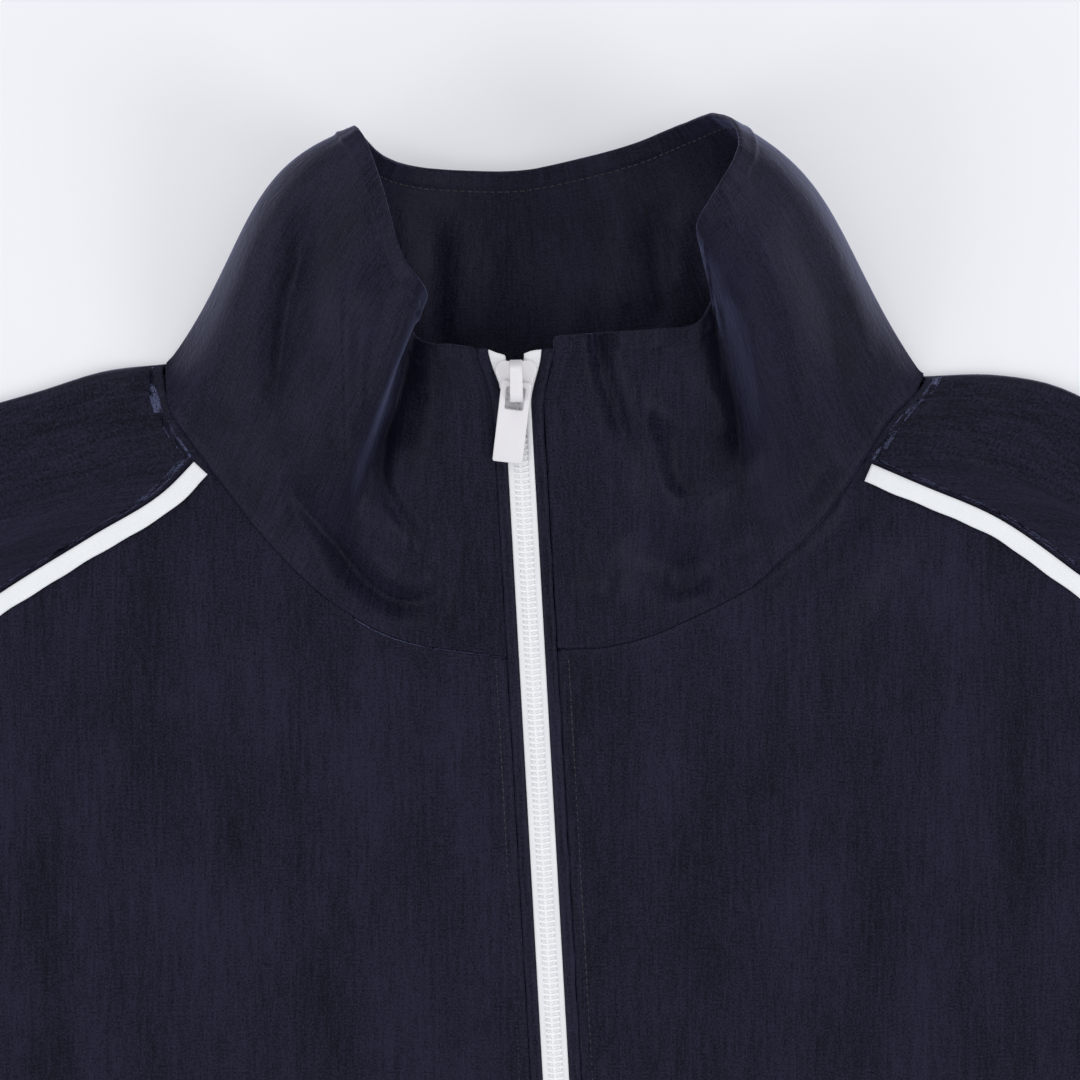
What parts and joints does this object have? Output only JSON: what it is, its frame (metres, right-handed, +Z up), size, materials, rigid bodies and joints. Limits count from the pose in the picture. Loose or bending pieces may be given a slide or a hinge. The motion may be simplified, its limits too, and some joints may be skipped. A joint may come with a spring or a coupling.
{
  "type": "cropped windbreaker",
  "caption": "Cropped navy windbreaker with raglan sleeves, a stand-up funnel collar, flat white piping and a white front zip, zipped up and laid flat on its back.",
  "frame": {"origin": "middle of the garment's footprint, on the surface it lies on", "axes": "+X across the garment towards the wearer's left cuff, +Y from the hem towards the collar, +Z up from the surface"},
  "size_m": [1.204, 0.563, 0.0529],
  "materials": {
    "back cloth": "fine plain weave, slight sheen",
    "collar cloth": "fine plain weave, slight sheen",
    "front cloth": "fine plain weave, slight sheen",
    "sleeve cloth": "fine plain weave, slight sheen",
    "lip cloth": "fine plain weave, slight sheen",
    "piping tape": "flat woven tape",
    "zip chain": "woven tape with a moulded coil",
    "painted metal": "satin white paint"
  },
  "bodies": {
    "garment": {"back": "back cloth", "collar": "collar cloth", "front_left": "front cloth", "front_right": "front cloth", "lip_left": "lip cloth", "lip_right": "lip cloth", "piping_left": "piping tape", "piping_right": "piping tape", "sleeve_left": "sleeve cloth", "sleeve_right": "sleeve cloth", "slider": "painted metal", "zip_chain": "zip chain"},
    "tab": {"pull_tab": "painted metal"}
  },
  "joints": [
    {"name": "tab_hinge", "type": "hinge", "parent": "garment", "child": "tab", "pos_m": [-0.00834, 0.21401, 0.02352], "axis": [-0.9934, 0.114, 0.0148], "range_deg": [0, 150]}
  ]
}
